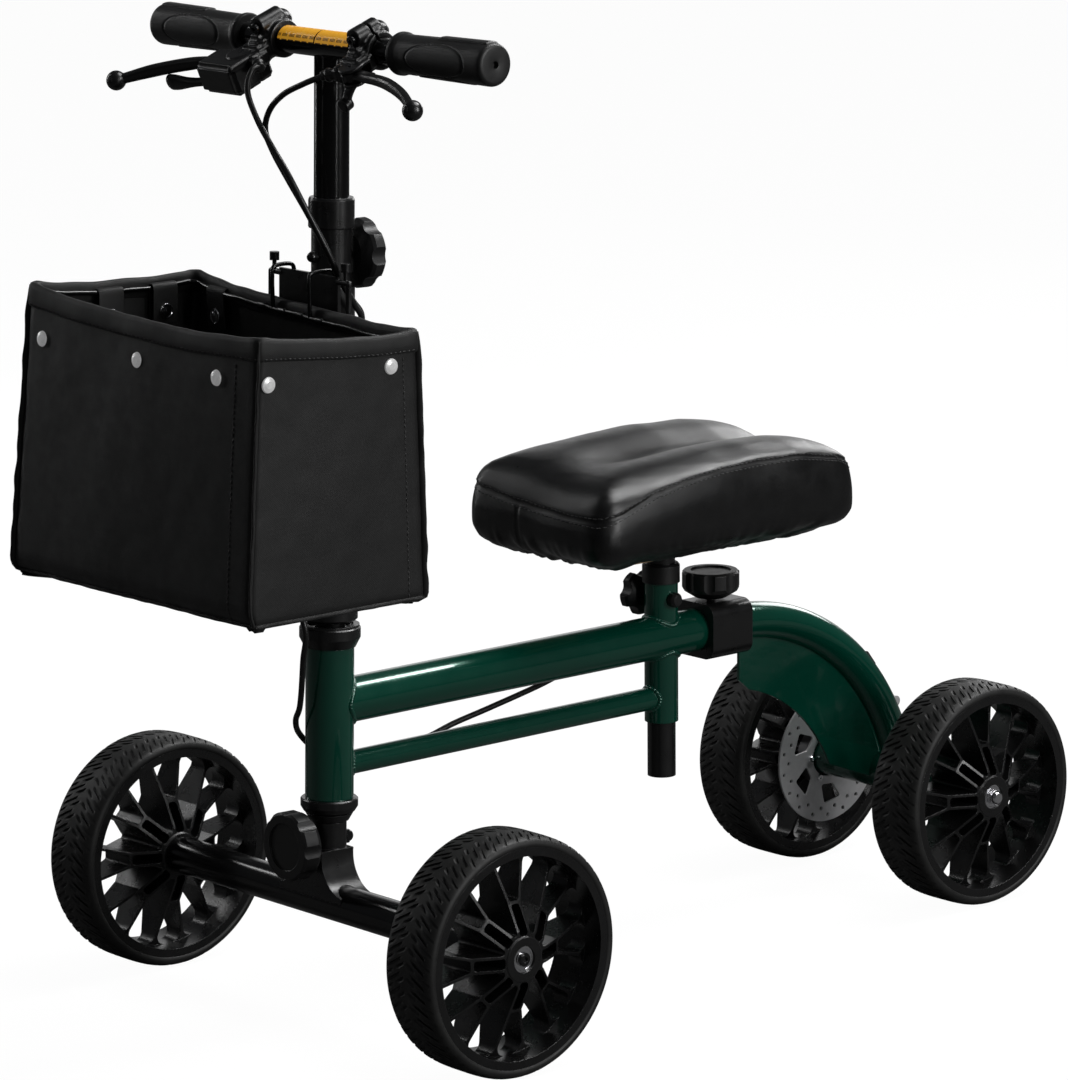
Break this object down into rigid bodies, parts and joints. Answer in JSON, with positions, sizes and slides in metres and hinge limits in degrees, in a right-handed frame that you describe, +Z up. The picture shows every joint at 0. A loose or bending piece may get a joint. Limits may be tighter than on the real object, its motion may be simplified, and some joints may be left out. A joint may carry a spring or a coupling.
{
  "type": "knee scooter",
  "caption": "Steerable four-wheeled knee scooter with an upholstered knee pad, T handlebar with brake levers, rear disc brake and front basket.",
  "frame": {"origin": "on the ground, in the middle of the scooter's length and width", "axes": "+Z up, -Y forward (the way it is ridden), +X to the rider's left"},
  "size_m": [0.51, 0.95, 0.8381],
  "materials": {
    "frame_paint": "gloss powder coat",
    "black_metal": "satin black powder coat",
    "chrome": "bright plating",
    "steel": "ground",
    "cast_alloy": "satin black coat on cast alloy",
    "black_plastic": "fine grain",
    "rubber": "matt",
    "tyre": "matt",
    "vinyl": "soft sheen upholstery vinyl",
    "cloth": "coated woven cloth",
    "board": "raw plywood",
    "red_lens": "gloss"
  },
  "bodies": {
    "frame": {"head_tube": "frame_paint", "main_tube": "frame_paint", "lower_tube": "frame_paint", "seat_tube": "frame_paint", "seat_tube_cap": "black_plastic", "headset_cups": "black_metal", "headset_bearings": "chrome", "rear_clamp_block": "black_metal", "lower_brake_cable": "rubber"},
    "steering": {"steerer_tube": "black_metal", "front_yoke": "black_metal", "front_axle_tube": "black_metal", "front_wheel_bearings": "steel", "front_wheel_screws": "chrome", "column_sleeve": "black_metal", "stem_guide_collar": "black_plastic", "basket_bracket": "black_metal", "column_nuts": "chrome"},
    "front_left_wheel": {"front_left_rim": "black_plastic", "front_left_tyre": "tyre"},
    "front_right_wheel": {"front_right_rim": "black_plastic", "front_right_tyre": "tyre"},
    "rear": {"rear_arch_tube": "frame_paint", "rear_gusset_plate": "frame_paint", "rear_axle_tube": "frame_paint", "rear_axle_rod": "chrome", "rear_wheel_bearings": "steel", "rear_reflector": "red_lens", "brake_calliper": "black_metal", "brake_pads": "rubber", "brake_return_spring": "steel", "rear_brake_cable": "rubber"},
    "rear_left_wheel": {"rear_left_rim": "black_plastic", "rear_left_tyre": "tyre"},
    "rear_right_wheel": {"rear_right_rim": "black_plastic", "rear_right_tyre": "tyre", "brake_rotor": "steel", "rotor_carrier": "steel", "rotor_screws": "steel"},
    "handlebar": {"stem_tube": "black_metal", "handlebar": "black_metal", "grips": "rubber", "lever_brackets": "black_metal", "lever_screws": "chrome", "upper_brake_cables": "rubber"},
    "left_lever": {"left_lever": "cast_alloy"},
    "right_lever": {"right_lever": "cast_alloy"},
    "lock_lever": {"lock_lever": "cast_alloy"},
    "brake_arm": {"brake_arm": "steel"},
    "seat": {"seat_post": "black_metal", "pad_board": "board", "pad_screws": "steel", "knee_pad": "vinyl"},
    "basket": {"basket_bag": "cloth", "basket_wire_frame": "black_metal", "basket_studs": "chrome"},
    "front_knob": {"front_knob": "black_plastic"},
    "stem_knob": {"stem_knob": "black_plastic"},
    "seat_knob": {"seat_knob": "black_plastic"},
    "rear_clamp_knob": {"rear_clamp_knob": "black_plastic"}
  },
  "joints": [
    {"name": "steering_turn", "type": "hinge", "parent": "frame", "child": "steering", "pos_m": [0, -0.272, 0.1], "axis": [0, 0.0244, 0.9997], "range_deg": [-40, 40]},
    {"name": "front_left_wheel_spin", "type": "hinge", "parent": "steering", "child": "front_left_wheel", "pos_m": [0.2245, -0.277, 0.1], "axis": [1, 0, 0], "continuous": true},
    {"name": "front_right_wheel_spin", "type": "hinge", "parent": "steering", "child": "front_right_wheel", "pos_m": [-0.2245, -0.277, 0.1], "axis": [1, 0, 0], "continuous": true},
    {"name": "rear_frame_slide", "type": "slide", "parent": "frame", "child": "rear", "axis": [0, 1, 0], "range_m": [0, 0.03]},
    {"name": "rear_left_wheel_spin", "type": "hinge", "parent": "rear", "child": "rear_left_wheel", "pos_m": [0.112, 0.375, 0.1], "axis": [1, 0, 0], "continuous": true},
    {"name": "rear_right_wheel_spin", "type": "hinge", "parent": "rear", "child": "rear_right_wheel", "pos_m": [-0.112, 0.375, 0.1], "axis": [1, 0, 0], "continuous": true},
    {"name": "handlebar_height", "type": "slide", "parent": "steering", "child": "handlebar", "axis": [0, 0.0244, 0.9997], "range_m": [0, 0.15]},
    {"name": "left_lever_squeeze", "type": "hinge", "parent": "handlebar", "child": "left_lever", "pos_m": [0.07, -0.29022, 0.79507], "axis": [0, -0.3843, 0.9232], "range_deg": [0, 14]},
    {"name": "right_lever_squeeze", "type": "hinge", "parent": "handlebar", "child": "right_lever", "pos_m": [-0.07, -0.29022, 0.79507], "axis": [0, 0.3843, -0.9232], "range_deg": [0, 20]},
    {"name": "lock_lever_squeeze", "type": "hinge", "parent": "handlebar", "child": "lock_lever", "pos_m": [-0.078, -0.28892, 0.78153], "axis": [0, 0.3843, -0.9232], "range_deg": [0, 15]},
    {"name": "brake_arm_pull", "type": "hinge", "parent": "rear", "child": "brake_arm", "pos_m": [-0.04, 0.4156, 0.13407], "axis": [1, 0, 0], "range_deg": [0, 15]},
    {"name": "seat_height", "type": "slide", "parent": "frame", "child": "seat", "axis": [0, 0, 1], "range_m": [0, 0.1]},
    {"name": "basket_lift", "type": "slide", "parent": "steering", "child": "basket", "axis": [0, 0.0244, 0.9997], "range_m": [0, 0.04]},
    {"name": "front_knob_turn", "type": "hinge", "parent": "steering", "child": "front_knob", "pos_m": [0, -0.27078, 0.14999], "axis": [0, 0.9997, -0.0244], "range_deg": [0, 720]},
    {"name": "stem_knob_turn", "type": "hinge", "parent": "steering", "child": "stem_knob", "pos_m": [0, -0.25883, 0.63884], "axis": [0, 0.9997, -0.0244], "range_deg": [0, 720]},
    {"name": "seat_knob_turn", "type": "hinge", "parent": "frame", "child": "seat_knob", "pos_m": [0, 0.104, 0.3], "axis": [1, 0, 0], "range_deg": [0, 720]},
    {"name": "rear_clamp_knob_turn", "type": "hinge", "parent": "frame", "child": "rear_clamp_knob", "pos_m": [0, 0.163, 0.3], "axis": [0, 0, 1], "range_deg": [0, 720]}
  ],
  "couplings": [
    {"joint": "brake_arm_pull", "follows": "right_lever_squeeze", "ratio": 0.75}
  ]
}
